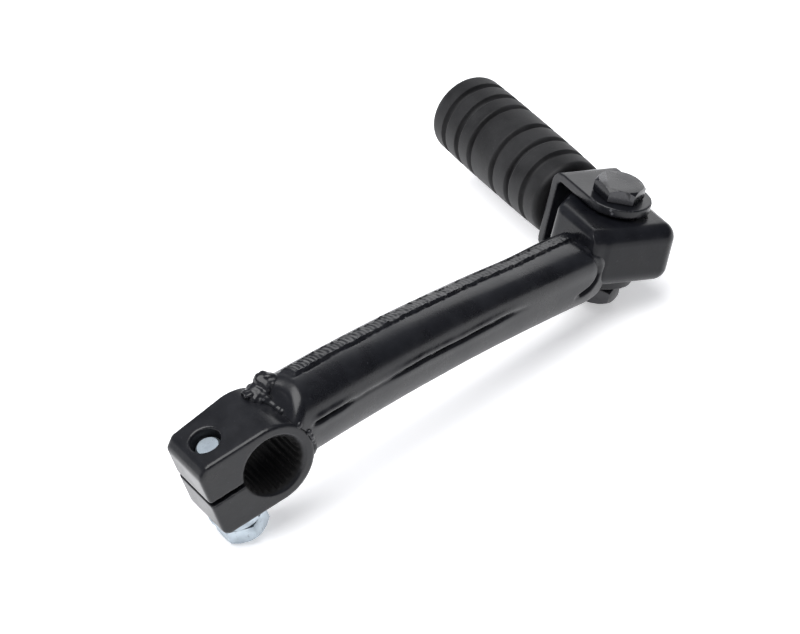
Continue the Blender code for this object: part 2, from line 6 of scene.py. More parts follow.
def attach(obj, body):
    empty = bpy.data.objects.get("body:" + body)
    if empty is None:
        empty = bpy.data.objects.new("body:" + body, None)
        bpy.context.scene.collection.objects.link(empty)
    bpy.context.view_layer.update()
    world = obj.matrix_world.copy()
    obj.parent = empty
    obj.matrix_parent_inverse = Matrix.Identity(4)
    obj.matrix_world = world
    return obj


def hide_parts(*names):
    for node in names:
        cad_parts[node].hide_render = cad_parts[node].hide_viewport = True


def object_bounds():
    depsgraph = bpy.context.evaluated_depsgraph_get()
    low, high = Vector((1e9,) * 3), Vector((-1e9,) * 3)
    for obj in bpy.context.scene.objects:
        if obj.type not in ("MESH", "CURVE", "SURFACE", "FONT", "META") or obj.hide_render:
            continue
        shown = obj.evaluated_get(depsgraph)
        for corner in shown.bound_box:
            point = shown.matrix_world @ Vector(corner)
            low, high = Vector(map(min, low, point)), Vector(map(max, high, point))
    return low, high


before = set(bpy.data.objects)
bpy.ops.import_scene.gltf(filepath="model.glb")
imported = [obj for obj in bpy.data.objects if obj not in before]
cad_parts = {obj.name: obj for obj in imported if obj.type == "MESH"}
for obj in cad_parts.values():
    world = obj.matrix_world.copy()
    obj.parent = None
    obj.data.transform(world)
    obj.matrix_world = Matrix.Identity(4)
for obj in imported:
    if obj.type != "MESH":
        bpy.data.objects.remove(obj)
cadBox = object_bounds()
mm = 0.001


# shader maths: a wrapped socket, and one method for any node
class Wire:
    def __init__(self, kit, socket):
        self.kit = kit
        self.socket = socket

    def calc(self, operation, first, second):
        return self.kit.add("ShaderNodeMath", {"operation": operation}, {0: first, 1: second})

    def __add__(self, other):
        return self.calc("ADD", self, other)

    def __radd__(self, other):
        return self.calc("ADD", other, self)

    def __sub__(self, other):
        return self.calc("SUBTRACT", self, other)

    def __rsub__(self, other):
        return self.calc("SUBTRACT", other, self)

    def __mul__(self, other):
        return self.calc("MULTIPLY", self, other)

    def __rmul__(self, other):
        return self.calc("MULTIPLY", other, self)

    def __pow__(self, other):
        return self.calc("POWER", self, other)


class Finish:
    def __init__(self, name, **constants):
        self.material = bpy.data.materials.new(name)
        self.material.use_nodes = True
        self.tree = self.material.node_tree
        self.shader = self.tree.nodes["Principled BSDF"]
        for key, value in constants.items():
            self.shader.inputs[key.replace("_", " ")].default_value = value
        self.here = self.add("ShaderNodeTexCoord", {}, {}, "Object")

    def add(self, kind, settings, sockets, output=0):
        node = self.tree.nodes.new(kind)
        for key, value in settings.items():
            if key == "stops":
                ramp = node.color_ramp
                while len(ramp.elements) < len(value):
                    ramp.elements.new(0.5)
                for element, (place, colour) in zip(ramp.elements, value):
                    element.position = place
                    element.color = colour
            else:
                setattr(node, key, value)
        for key, value in sockets.items():
            if isinstance(value, Wire):
                self.tree.links.new(value.socket, node.inputs[key])
            else:
                node.inputs[key].default_value = value
        return Wire(self, node.outputs[output])

    def grain(self, size, detail=3.0, stretch=(1, 1, 1), roughness=0.55):
        # noise whose blotches are about size millimetres across
        where = self.add("ShaderNodeMapping", {}, {"Vector": self.here, "Scale": stretch})
        return self.add("ShaderNodeTexNoise", {}, {"Vector": where, "Scale": 1000.0 / size,
                                                   "Detail": detail, "Roughness": roughness}, "Fac")

    def between(self, value, low, high, toLow=0.0, toHigh=1.0):
        return self.add("ShaderNodeMapRange", {"clamp": True},
                        {"Value": value, "From Min": low, "From Max": high,
                         "To Min": toLow, "To Max": toHigh})

    def tint(self, amount, first, second):
        def full(c):
            return c if isinstance(c, Wire) else (*c, 1.0)
        return self.add("ShaderNodeMix", {"data_type": "RGBA"},
                        {"Factor": amount, 6: full(first), 7: full(second)}, 2)

    def relief(self, height, depth, strength=1.0, under=None):
        sockets = {"Height": height, "Distance": depth * mm, "Strength": strength}
        if under is not None:
            sockets["Normal"] = under
        return self.add("ShaderNodeBump", {}, sockets)

    def feed(self, **links):
        for key, value in links.items():
            self.tree.links.new(value.socket, self.shader.inputs[key.replace("_", " ")])
        return self.material

    def paintedShade(self, mask):
        # painted shade: a dull near-black coat where the mask is 1 stands in for the shade deep inside a
        # hollow
        shadeBlack = self.add("ShaderNodeBsdfPrincipled", {}, {"Base Color": (0.0025, 0.0024, 0.0024, 1.0),
                                                           "Roughness": 0.75, "Specular IOR Level": 0.18})
        own = Wire(self, self.shader.outputs[0])
        both = self.add("ShaderNodeMixShader", {}, {0: mask, 1: own, 2: shadeBlack})
        self.tree.links.new(both.socket, self.tree.nodes["Material Output"].inputs["Surface"])
        return self.material


paint = {"dark": (0.0030, 0.0032, 0.0045), "light": (0.0065, 0.0070, 0.0092),
         "dust": (0.030, 0.031, 0.036), "bare": (0.16, 0.16, 0.17),
         "gloss": 0.24, "roughSpread": 0.12, "peel": 0.9, "peelDepth": 0.03, "boreEdge": 0.7}


def paintFinish(name, gloss=0.0, dustMore=0.0, wear=0.0, lumps=0.0, bore=0.0, bend=1.36):
    kit = Finish(name, IOR=bend, Coat_Roughness=0.10, Coat_IOR=1.35)
    cloud = kit.grain(14.0, 4.0)
    peel = kit.grain(paint["peel"], 2.0)
    fine = kit.grain(0.28, 2.0)
    specks = kit.between(kit.grain(0.75, 1.0), 0.70, 0.78)
    film = kit.between(kit.grain(5.0, 5.0), 0.45, 0.75, 0.0, 0.35 + dustMore)
    colour = kit.tint(kit.between(cloud, 0.35, 0.65), paint["dark"], paint["light"])
    colour = kit.tint(film * 0.35, colour, paint["dust"])
    colour = kit.tint(specks * (0.35 + dustMore), colour, paint["dust"])
    glossiest = paint["gloss"] + gloss
    rough = kit.between(cloud, 0.3, 0.7, glossiest, glossiest + paint["roughSpread"])
    rough = rough + film * 0.12
    if wear:
        edge = kit.add("ShaderNodeNewGeometry", {}, {}, "Pointiness")
        rubbed = kit.between(edge + kit.grain(1.6, 4.0) * 0.05, 0.565, 0.60, 0.0, wear)
        colour = kit.tint(rubbed, colour, paint["bare"])
        rough = rough + rubbed * 0.08
    height = peel + fine * 0.25
    bump = kit.relief(height, paint["peelDepth"], 0.8)
    if lumps:
        bump = kit.relief(kit.grain(2.2, 3.0), lumps, 0.8, bump)
    coat = kit.between(cloud, 0.3, 0.7, 0.22, 0.08)
    painted = kit.feed(Base_Color=colour, Roughness=rough, Normal=bump, Coat_Weight=coat)
    # painted shade: inside the bore radius the paint is swapped for a near-black coat, standing in for the
    # shade in the bore
    if bore:
        across = kit.add("ShaderNodeVectorMath", {"operation": "MULTIPLY"}, {0: kit.here, 1: (1, 0, 1)})
        reach = kit.add("ShaderNodeVectorMath", {"operation": "LENGTH"}, {0: across}, "Value")
        ragged = reach + kit.grain(2.0) * 0.0006
        kit.paintedShade(1 - kit.between(ragged, bore * mm, (bore + paint["boreEdge"]) * mm))
    return painted


zinc = {"bright": (0.46, 0.52, 0.57), "dull": (0.34, 0.39, 0.43),
        "stain": (0.20, 0.22, 0.24), "gloss": 0.30}


def zincFinish(name):
    kit = Finish(name, Metallic=1.0)
    cloud = kit.grain(3.0, 5.0)
    colour = kit.tint(kit.between(cloud, 0.35, 0.7), zinc["bright"], zinc["dull"])
    spots = kit.between(kit.grain(1.1, 3.0), 0.62, 0.74)
    colour = kit.tint(spots * 0.55, colour, zinc["stain"])
    rough = kit.between(cloud, 0.3, 0.7, zinc["gloss"], zinc["gloss"] + 0.2) + spots * 0.2
    scratch = kit.grain(0.5, 2.0, (1, 1, 7))
    return kit.feed(Base_Color=colour, Roughness=rough, Normal=kit.relief(scratch, 0.02, 0.6))


steel = {"clean": (0.40, 0.40, 0.41), "oiled": (0.17, 0.16, 0.145), "gloss": (0.22, 0.45)}


def steelFinish(name):
    kit = Finish(name, Metallic=1.0)
    cloud = kit.grain(2.5, 4.0)
    colour = kit.tint(kit.between(cloud, 0.4, 0.65), steel["clean"], steel["oiled"])
    rough = kit.between(cloud, 0.3, 0.7, *steel["gloss"])
    turning = kit.grain(0.35, 2.0, (1, 1, 6))
    return kit.feed(Base_Color=colour, Roughness=rough, Normal=kit.relief(turning, 0.015, 0.6))


rubberLook = {"deep": (0.0022, 0.0022, 0.0027), "chalk": (0.0150, 0.0150, 0.0160),
              "dust": (0.050, 0.050, 0.052), "rough": (0.50, 0.66)}


def rubberFinish(name):
    kit = Finish(name, IOR=1.33, Sheen_Weight=0.03, Sheen_Roughness=0.6)
    cloud = kit.grain(9.0, 5.0)
    dust = kit.between(kit.grain(0.6, 2.0), 0.66, 0.76)
    colour = kit.tint(kit.between(cloud, 0.35, 0.68), rubberLook["deep"], rubberLook["chalk"])
    colour = kit.tint(dust * 0.35, colour, rubberLook["dust"])
    rough = kit.between(cloud, 0.3, 0.7, *rubberLook["rough"])
    skin = kit.grain(0.35, 3.0) + kit.grain(1.6, 2.0) * 0.6
    return kit.feed(Base_Color=colour, Roughness=rough, Normal=kit.relief(skin, 0.04, 0.8))


print("finishes ready")


# working with operators
def deselectAll():
    if bpy.context.object and bpy.context.object.mode != "OBJECT":
        bpy.ops.object.mode_set(mode="OBJECT")
    bpy.ops.object.select_all(action="DESELECT")


def takeHold(piece):
    deselectAll()
    piece.select_set(True)
    bpy.context.view_layer.objects.active = piece
    return piece


def nameIt(name):
    piece = bpy.context.object
    piece.name = name
    piece.data.name = name
    return piece


def applyModifier(piece, kind, **settings):
    takeHold(piece)
    modifier = piece.modifiers.new(kind.lower(), kind)
    for key, value in settings.items():
        setattr(modifier, key, value)
    bpy.ops.object.modifier_apply(modifier=modifier.name)


def combine(piece, tool, operation="DIFFERENCE"):
    applyModifier(piece, "BOOLEAN", operation=operation, solver="EXACT", object=tool)
    bpy.data.objects.remove(tool, do_unlink=True)


def settle(piece, turn=None):
    # the place goes into the mesh and the object stays at the origin
    takeHold(piece)
    if turn is not None:
        piece.matrix_world = turn @ piece.matrix_world
    bpy.ops.object.transform_apply(location=True, rotation=True, scale=True)
    return piece


def tidyNormals(piece, merge=0.000002):
    takeHold(piece)
    bpy.ops.object.mode_set(mode="EDIT")
    bpy.ops.mesh.select_all(action="SELECT")
    bpy.ops.mesh.remove_doubles(threshold=merge)
    bpy.ops.mesh.normals_make_consistent(inside=False)
    bpy.ops.object.mode_set(mode="OBJECT")


def smooth(piece, angle=35):
    takeHold(piece)
    bpy.ops.object.shade_smooth_by_angle(angle=math.radians(angle))


def dress(piece, finish, body, slot, *nodes):
    piece.data.materials.clear()
    piece.data.materials.append(finish)
    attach(piece, body)
    if nodes:
        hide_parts(*nodes)
    return piece


def castCopy(node, name, voxel, rounds):
    # a copy of a frame node remade as one even skin, so paint-soft edges can be given to it
    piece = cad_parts[node].copy()
    piece.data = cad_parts[node].data.copy()
    for key in list(piece.keys()):
        del piece[key]
    piece.parent = None
    bpy.context.scene.collection.objects.link(piece)
    piece.name = name
    piece.data.name = name
    tidyNormals(piece)
    applyModifier(piece, "REMESH", mode="VOXEL", voxel_size=voxel * mm, adaptivity=0.0)
    applyModifier(piece, "SMOOTH", factor=0.5, iterations=rounds)
    takeHold(piece)
    bpy.ops.object.shade_smooth()
    return piece


def sheetSkin(name, around, along, shape):
    # a grid wrapped into a closed skin; shape gives a point in millimetres for shares 0..1
    deselectAll()
    bpy.ops.mesh.primitive_grid_add(x_subdivisions=around, y_subdivisions=along, size=1.0)
    piece = nameIt(name)
    for vert in piece.data.vertices:
        vert.co = shape(vert.co.x + 0.5, vert.co.y + 0.5) * mm
    takeHold(piece)
    bpy.ops.object.mode_set(mode="EDIT")
    bpy.ops.mesh.select_all(action="SELECT")
    bpy.ops.mesh.remove_doubles(threshold=0.000002)
    bpy.ops.mesh.select_all(action="DESELECT")
    bpy.ops.mesh.select_mode(type="EDGE")
    bpy.ops.mesh.select_non_manifold()
    bpy.ops.mesh.edge_face_add()
    bpy.ops.mesh.select_mode(type="VERT")
    bpy.ops.mesh.select_all(action="SELECT")
    bpy.ops.mesh.normals_make_consistent(inside=False)
    bpy.ops.object.mode_set(mode="OBJECT")
    return piece


def clampTo(value, low=0.0, high=1.0):
    return max(low, min(high, value))


def ease(value, low, high):
    t = clampTo((value - low) / (high - low))
    return t * t * (3 - 2 * t)


# places of the hub and the pivot, as the frame has them
hubTurn = Matrix.Rotation(math.radians(-19.5), 4, "Y")
pivotMove = Matrix.Translation(Vector((141.0, 39.8, -5.4)) * mm)
pivotPlace = pivotMove @ Matrix.Rotation(math.radians(14.7), 4, "Y")


# the arm is one lofted skin, with its seam and the crease of the pressing in it
arm = {
    "start": 2.0, "end": 131.5, "back": 124.556,  # x of the skin's ends and of the knuckle's back
    "lean": 5.5, "curlUnder": 2.0, "curlOver": 2.0, "endRound": 3.0, "shoulder": 4.2,  # the ends' shape
    "splay": 0.274963, "splayFrom": 10.0, "low": (6.44, -6.56), "sag": -0.0128,  # the centre line
    "halfWide": (10.3, 8.6), "halfHigh": (12.2, 8.5), "power": (2.5, 3.2),  # section, hub and knuckle
    "rise": 1.1, "sink": 1.1,  # how the outer end is blended into the knuckle
    "seamMiddle": -2.3, "seamHalf": 2.4, "seamNarrows": 0.35, "seamRise": 0.42,
    "creaseAngle": 11.0, "creaseDepth": 1.25,
    "hook": ((121.3, 8.0), (123.2, 6.2), (124.4, 4.2), (124.8, 2.0), (124.0, 0.1), (121.8, -1.5),
             (119.0, -2.4), (116.0, -2.8)), "hookDepth": 1.3,
    "around": 176, "along": 330, "ringRadius": 12.75,
    "socket": (13.0, 7.4, 0.0), "socketSize": (59.6, 45.0, 32.0)}
armBend = (arm["low"][1] - arm["low"][0]) / arm["back"] ** 2 - arm["sag"] / arm["back"]


def ripple(x, y, z, seed=0.0):
    return noise.noise(Vector((x + seed, y - seed, z + 0.37)))


def armAxes(x):
    slope = arm["sag"] + 2 * armBend * x
    forward = Vector((1.0, arm["splay"], slope)).normalized()
    near = Vector((arm["splay"], -1.0, 0.0)).normalized()
    up = near.cross(forward).normalized()
    height = arm["low"][0] + arm["sag"] * x + armBend * x * x
    centre = Vector((x, arm["splay"] * (x - arm["splayFrom"]), height))
    return centre, near, up


def armSection(x, angle):
    # the section's half width, half height, power, and radius along an angle
    share = clampTo(x / arm["back"])
    wide, high, power = (arm[key][0] + (arm[key][1] - arm[key][0]) * share
                         for key in ("halfWide", "halfHigh", "power"))
    c = math.cos(math.radians(angle))
    s = math.sin(math.radians(angle))
    return wide, high, power, (abs(c / wide) ** power + abs(s / high) ** power) ** (-1 / power)


def seamHeight(x, across):
    # two rough toes with a mottled run of weld between them
    share = clampTo(x / arm["back"])
    half = arm["seamHalf"] * (1 - arm["seamNarrows"] * share)
    half = half * (1 + 0.13 * ripple(x * 0.45, 1.5, 0.0) + 0.10 * ripple(x * 1.5, 4.1, 0.0))
    t = (across - arm["seamMiddle"] - 0.25 * ripple(x * 0.12, 7.7, 0)) / half
    if abs(t) > 1.5:
        return 0.0
    body = arm["seamRise"] * (1 - ease(abs(t), 0.82, 1.12))
    toe = 0.42 * math.exp(-((abs(t) - 0.88) / 0.14) ** 2) * (0.6 + 0.9 * ripple(x * 0.9, across * 0.4, 3.0))
    groove = -0.22 * math.exp(-((abs(t) - 1.16) / 0.11) ** 2)
    mottle = 0.13 * ripple(x * 0.6, across * 0.8, 0.0) + 0.06 * ripple(x * 1.5, across * 1.7, 5.0)
    mottle += 0.05 * math.sin(x * 4.6 + 1.2 * abs(t) ** 2 * 3 + 2.0 * ripple(x * 0.3, 0, 9.0))
    return body + toe + groove + mottle * (1 - ease(abs(t), 0.7, 1.05))


def creaseHeight(x, angle, radius):
    wobble = 1.6 * ripple(x * 0.06, 0.0, 2.0) + 0.5 * ripple(x * 0.3, 3.0, 2.0)
    away = math.radians(angle - arm["creaseAngle"] - wobble) * radius
    strength = 0.25 + 0.75 * (1 - ease(x, 18, 27)) + 0.55 * ease(x, 38, 48)
    strength *= (1 - ease(x, 78, 98)) * ease(x, 9, 13) * (1 + 0.2 * ripple(x * 0.4, 8.0, 1.0))
    cut = -arm["creaseDepth"] * math.exp(-(away / 0.52) ** 2)
    lip = 0.45 * math.exp(-((away - 1.5) / 0.9) ** 2) + 0.10 * math.exp(-((away + 1.6) / 0.9) ** 2)
    return (cut + lip) * strength


def hookHeight(x, h):
    # the curved fold pressed into the near side where the tube flattens towards the knuckle
    best = 99.0
    share = 0.0
    spots = [Vector(spot) for spot in arm["hook"]]
    here = Vector((x, h))
    for i in range(len(spots) - 1):
        run = spots[i + 1] - spots[i]
        t = clampTo((here - spots[i]).dot(run) / run.length_squared)
        away = (here - spots[i] - run * t).length
        if away < best:
            best = away
            share = (i + t) / (len(spots) - 1)
    strength = ease(share, 0.0, 0.3) * (1 - ease(share, 0.85, 1.0)) * 0.8 + 0.2
    return -arm["hookDepth"] * strength * math.exp(-(best / 0.62) ** 2)


def armShape(v, u):
    angle = 360.0 * v
    c = math.cos(math.radians(angle))
    s = math.sin(math.radians(angle))
    first = arm["start"] + arm["lean"] * max(0.0, s) ** 2
    curl = arm["curlUnder"] * ease(-s, 0.0, 0.9) if s < 0 else arm["curlOver"] * ease(s, 0.2, 0.9)
    last = arm["end"] - curl
    x = first + (last - first) * u
    wide, high, power, radius = armSection(x, angle)
    rim = clampTo((x - (last - arm["endRound"])) / arm["endRound"])
    radius -= arm["endRound"] * (1 - math.sqrt(max(0.0, 1 - rim * rim)))
    if s > 0:
        shoulder = clampTo((first + arm["shoulder"] - x) / arm["shoulder"])
        radius -= arm["shoulder"] * (1 - math.sqrt(1 - shoulder * shoulder)) * ease(s, 0.0, 0.5)
    centre, near, up = armAxes(x)
    side = Vector((math.copysign(abs(c * radius / wide) ** (power - 1) / wide, c),
                   math.copysign(abs(s * radius / high) ** (power - 1) / high, s)))
    side = side.normalized()
    lift = 0.05 * ripple(x * 0.11, c * 1.2, s * 1.2)
    if s > 0:
        lift += seamHeight(x, radius * c) * ease(x, 11, 15) * (1 - ease(x, 121, 127))
        lift += arm["rise"] * ease(x, 98, 125) * ease(s, 0.1, 0.75)
    turn = angle if angle < 180 else angle - 360
    if abs(turn - arm["creaseAngle"]) < 35:
        lift += creaseHeight(x, turn, radius)
    if c > 0 and 112 < x < 128:
        lift += hookHeight(x, radius * s)
    if c > 0:
        lift -= arm["sink"] * ease(x, 121, 131) * ease(c, 0.1, 0.6)
    return centre + near * (radius * c + side.x * lift) + up * (radius * s + side.y * lift)


def buildArm():
    skin = sheetSkin("armSkin", arm["around"], arm["along"], armShape)
    deselectAll()
    bpy.ops.mesh.primitive_cylinder_add(vertices=96, radius=arm["ringRadius"] * mm, depth=80 * mm,
                                        rotation=(math.pi / 2, 0, 0))
    combine(skin, settle(nameIt("cope")))
    deselectAll()
    bpy.ops.mesh.primitive_cube_add(size=1.0, location=Vector(arm["socket"]) * mm,
                                    scale=Vector(arm["socketSize"]) * mm)
    combine(skin, settle(nameIt("socket"), pivotPlace))
    smooth(skin, 40)
    look = paintFinish("armPaint", -0.02)
    return dress(skin, look, "lever", "black_paint_arm", "arm_tube", "arm_seam_weld")


buildArm()
print("arm ready")

# cast and stamped pieces
castVoxel = 0.30
knuckle = {"near": -15.3, "tip": 13.5, "halfHigh": 9.0, "round": 4.6, "cheek": 0.25, "cheekFrom": -12.0}


def roundTowards(piece, place, block):
    # the near, outer, upper and lower sides of the block meet in wide soft edges, and the near side bulges
    back = place.inverted()
    r = block["round"]
    for vert in piece.data.vertices:
        p = back @ vert.co / mm
        level = clampTo(p.z, r - block["halfHigh"], block["halfHigh"] - r)
        q = Vector((min(p.x, block["tip"] - r), max(p.y, block["near"] + r), level))
        d = p - q
        if p.y < 0 and d.length > r:
            p = q + d * (r / d.length)
        bulge = ease(-p.y, 6.0, 15.0) * ease(p.x, block["cheekFrom"] - 1.0, block["cheekFrom"] + 1.4)
        p.y -= block["cheek"] * bulge
        vert.co = place @ (p * mm)


hubPiece = castCopy("hub_clamp", "hubBody", castVoxel, 5)
hubPaint = paintFinish("hubPaint", 0.02, 0.05, 0.35, 0.03, 9.3)
dress(hubPiece, hubPaint, "lever", "black_paint", "hub_clamp")
knucklePiece = castCopy("knuckle", "knuckleBlock", castVoxel, 9)
roundTowards(knucklePiece, pivotPlace, knuckle)
knucklePaint = paintFinish("knucklePaint", 0.0, 0.0, 0.35, bend=1.25)
dress(knucklePiece, knucklePaint, "lever", "black_paint_knuckle", "knuckle")
clevisPiece = castCopy("clevis", "clevisSheet", castVoxel, 5)
clevisPaint = paintFinish("clevisPaint", 0.02, 0.05, 0.5)
dress(clevisPiece, clevisPaint, "pedal", "black_paint_clevis", "clevis")
print("hub, knuckle and clevis ready")

# weld beads are overlapping puddles melted into one skin
bead = {"voxel": 0.28, "rounds": 7, "lump": 0.22, "ringRadius": 13.0}


def weldBead(name, puddles, body, nodes, finish):
    parts = []
    for place, size, seed in puddles:
        deselectAll()
        bpy.ops.mesh.primitive_uv_sphere_add(segments=24, ring_count=14, radius=1.0,
                                             location=Vector(place) * mm, scale=Vector(size) * mm,
                                             rotation=(0.3 * seed, 0.2 * seed, 0.5 * seed))
        parts.append(settle(nameIt(name)))
    deselectAll()
    for part in parts:
        part.select_set(True)
    bpy.context.view_layer.objects.active = parts[0]
    bpy.ops.object.join()
    piece = nameIt(name)
    applyModifier(piece, "REMESH", mode="VOXEL", voxel_size=bead["voxel"] * mm, adaptivity=0.0)
    applyModifier(piece, "SMOOTH", factor=0.5, iterations=bead["rounds"])
    for vert in piece.data.vertices:
        lump = bead["lump"] * ripple(vert.co.x * 700, vert.co.y * 700, vert.co.z * 700, 3.0)
        vert.co += vert.normal * lump * mm
    takeHold(piece)
    bpy.ops.object.shade_smooth()
    return dress(piece, finish, body, "black_paint_weld", *nodes)


weldPaint = paintFinish("weldPaint", 0.0, 0.10, 0.3, 0.05)


def topPuddles():
    # a heavy start at the far side that thins out towards the near side
    centre, near, _ = armAxes(6.5)
    puddles = []
    for i in range(15):
        across = -7.6 + 16.4 * i / 14
        spot = centre + near * across
        heavy = 1 - ease(across, -5.5, -1.0)
        x = spot.x - 0.6 + 0.5 * ripple(i * 1.7, 0, 0)
        z = math.sqrt(bead["ringRadius"] ** 2 - min(x, 11.0) ** 2) + 0.3 + 1.1 * heavy
        grow = (0.72 + 0.42 * heavy) * (1.0 + 0.3 * ripple(i * 0.9, 3, 0))
        puddles.append(((x, spot.y, z), (2.0 * grow, 1.9 * grow, 1.5 * grow), i))
        if heavy > 0.4:
            puddles.append(((x + 2.0, spot.y + 0.5, z + 2.0), (2.0 * grow, 1.7 * grow, 1.2 * grow), i + 40))
            puddles.append(((x + 3.6, spot.y + 0.3, z + 3.1), (1.9 * grow, 1.6 * grow, 1.0 * grow), i + 60))
            puddles.append(((x - 2.2, spot.y - 0.4, z - 0.6), (1.7 * grow, 1.6 * grow, 0.9 * grow), i + 80))
    return puddles


def underPuddles():
    puddles = []
    for i in range(27):
        angle = 183 + (372 - 183) * i / 26
        c = math.cos(math.radians(angle))
        s = math.sin(math.radians(angle))
        low = 0.0
        high = 40.0
        for _ in range(30):  # halving finds where the arm's side meets the hub's ring
            x = (low + high) / 2
            radius = armSection(x, angle)[3]
            centre, near, up = armAxes(x)
            spot = centre + near * radius * c + up * radius * s
            if spot.x ** 2 + spot.z ** 2 < 13.1 ** 2:
                low = x
            else:
                high = x
        size = 1.25 if 205 < angle < 335 else 0.85
        if abs(spot.y) < 10.4:
            puddles.append((spot, (size * 1.1, size * 1.15, size), i))
    return puddles


weldBead("hubWeldTop", topPuddles(), "lever", ["hub_weld_top"], weldPaint)
weldBead("hubWeldUnder", underPuddles(), "lever", ["hub_weld_under"], weldPaint)


def stemPuddles():
    puddles = []
    for i in range(22):
        a = 2 * math.pi * i / 22
        spot = pivotPlace @ (Vector((7.2 * math.cos(a), 18.3, 7.2 * math.sin(a))) * mm) / mm
        puddles.append((spot, (1.25, 0.95, 1.25), i * 0.1))
    return puddles


weldBead("stemWeldRing", stemPuddles(), "pedal", ["stem_weld"], weldPaint)
print("welds ready")

# bolts and nut
bolts = {"shank": 3.95, "pitch": 1.25, "threadDepth": 0.62, "flats": 13.0, "crown": 0.85,
         "clampSeat": -17.3, "nutHole": 4.2}


def hexBlock(name, low, high, crownBoth):
    deselectAll()
    corner = bolts["flats"] / 2 / math.cos(math.pi / 6)
    bpy.ops.mesh.primitive_cylinder_add(vertices=6, radius=corner * mm, depth=(high - low) * mm,
                                        location=(0, 0, (low + high) / 2 * mm))
    block = nameIt(name)
    settle(block)
    deselectAll()
    bpy.ops.mesh.primitive_cylinder_add(vertices=72, radius=corner * 0.992 * mm, depth=(high - low) * mm,
                                        location=(0, 0, (low + high) / 2 * mm))
    crown = settle(nameIt("crown"))
    bpy.ops.object.mode_set(mode="EDIT")
    bpy.ops.mesh.select_all(action="DESELECT")
    bpy.ops.mesh.select_mode(type="FACE")
    bpy.ops.object.mode_set(mode="OBJECT")
    for face in crown.data.polygons:
        outer = face.normal.z > 0.9 or (crownBoth and face.normal.z < -0.9)
        face.select = outer
    bpy.ops.object.mode_set(mode="EDIT")
    bpy.ops.mesh.bevel(offset=bolts["crown"] * mm, segments=1, affect="EDGES")
    bpy.ops.object.mode_set(mode="OBJECT")
    combine(block, crown, "INTERSECT")
    applyModifier(block, "BEVEL", width=0.14 * mm, segments=2, limit_method="ANGLE",
                  angle_limit=math.radians(20))
    return block


def threadedRod(name, low, high, threadLow, threadHigh, pointLow):
    # a rod along Z with a cut thread between two heights and a chamfered point
    def shape(v, u):
        z = low + (high - low) * u
        a = 2 * math.pi * v
        turn = (z / bolts["pitch"] - v) % 1.0
        cut = bolts["threadDepth"] * clampTo(1.25 - abs(turn - 0.5) * 3.2)
        cut *= ease(z, threadLow - 0.6, threadLow) * (1 - ease(z, threadHigh, threadHigh + 0.6))
        tip = (z - low) if pointLow else (high - z)
        r = bolts["shank"] - cut
        r = min(r, bolts["shank"] - 0.9 + tip * 1.1)
        return Vector((r * math.cos(a), r * math.sin(a), z))
    rows = int((high - low) / 0.16)
    return sheetSkin(name, 56, rows, shape)


def joinAll(name, parts):
    deselectAll()
    for part in parts:
        part.select_set(True)
    bpy.context.view_layer.objects.active = parts[0]
    bpy.ops.object.join()
    return nameIt(name)


clampAxis = hubTurn @ Matrix.Translation(Vector((-11.6, 0, 0)) * mm)


def buildClampBolt():
    head = hexBlock("clampHead", -5.0, 0.0, False)
    head.data.transform(Matrix.Rotation(math.pi, 4, "X"))
    head.data.transform(Matrix.Translation(Vector((0, 0, bolts["clampSeat"] - 5.0)) * mm))
    rod = threadedRod("clampRod", -18.0, 10.6, -8.0, 13.0, False)
    piece = joinAll("clampBolt", [head, rod])
    settle(piece, clampAxis)
    smooth(piece, 30)
    return dress(piece, zincFinish("zincBolt"), "lever", "zinc_plate", "clamp_bolt")


def buildPivotBolt():
    head = hexBlock("pivotHead", 13.0, 16.8, False)
    rod = threadedRod("pivotRod", -19.9, 13.5, -21.0, -14.0, True)
    piece = joinAll("pivotBolt", [head, rod])
    settle(piece, pivotPlace)
    smooth(piece, 30)
    look = paintFinish("boltPaint", -0.05, 0.05, 0.3)
    return dress(piece, look, "pedal", "black_paint_bolt", "pivot_bolt")


def buildPivotNut():
    nut = hexBlock("pivotNut", -19.3, -14.9, True)
    deselectAll()
    bpy.ops.mesh.primitive_cylinder_add(vertices=48, radius=bolts["nutHole"] * mm, depth=20 * mm,
                                        location=(0, 0, -17 * mm))
    combine(nut, settle(nameIt("hole")))
    settle(nut, pivotPlace)
    smooth(nut, 30)
    return dress(nut, paintFinish("nutPaint", -0.03, 0.05, 0.3), "pedal", "black_paint_bolt", "pivot_nut")


buildClampBolt()
buildPivotBolt()
buildPivotNut()
print("bolts ready")

# the pedal rubber is a section turned round the stem
grip = {"radius": 12.4, "start": 19.6, "length": 55.4, "nose": 2.8, "rear": 1.6,
        "grooveWide": 1.9, "grooveDeep": 1.35, "grooves": (0.137, 0.262, 0.386, 0.594, 0.738, 0.874),
        "barrel": 0.4, "bore": 6.8, "cap": 4.2, "steps": 160, "row": 0.24}


def gripRadius(z):
    return grip["radius"] - grip["barrel"] * abs((z - grip["start"]) / grip["length"] * 2 - 1) ** 3


def gripSection():
    end = grip["start"] + grip["length"]
    outer = []
    z = grip["start"]
    while z <= end - grip["nose"] * 0.2:
        outer.append(z)
        z += grip["row"]
    points = [(grip["bore"], grip["start"] + 0.3), (grip["bore"] + 0.3, grip["start"])]
    for z in outer:
        r = gripRadius(z)
        for share in grip["grooves"]:
            middle = end - grip["length"] * share
            away = abs(z - middle) / (grip["grooveWide"] / 2)
            r -= grip["grooveDeep"] * (1 - ease(away, 0.55, 1.25))
        rear = clampTo((z - grip["start"]) / grip["rear"])
        r -= 1.9 * (1 - math.sqrt(1 - (1 - rear) ** 2))
        front = clampTo((end - z) / grip["nose"])
        r -= grip["nose"] * (1 - math.sqrt(max(0.0, 1 - (1 - front) ** 2)))
        points.append((r, z))
    for r in (8.6, 7.6, 7.0):
        points.append((r, end))
    points += [(6.4, end - 0.25), (3.0, end - 0.3), (0.0, end - 0.3)]
    return points


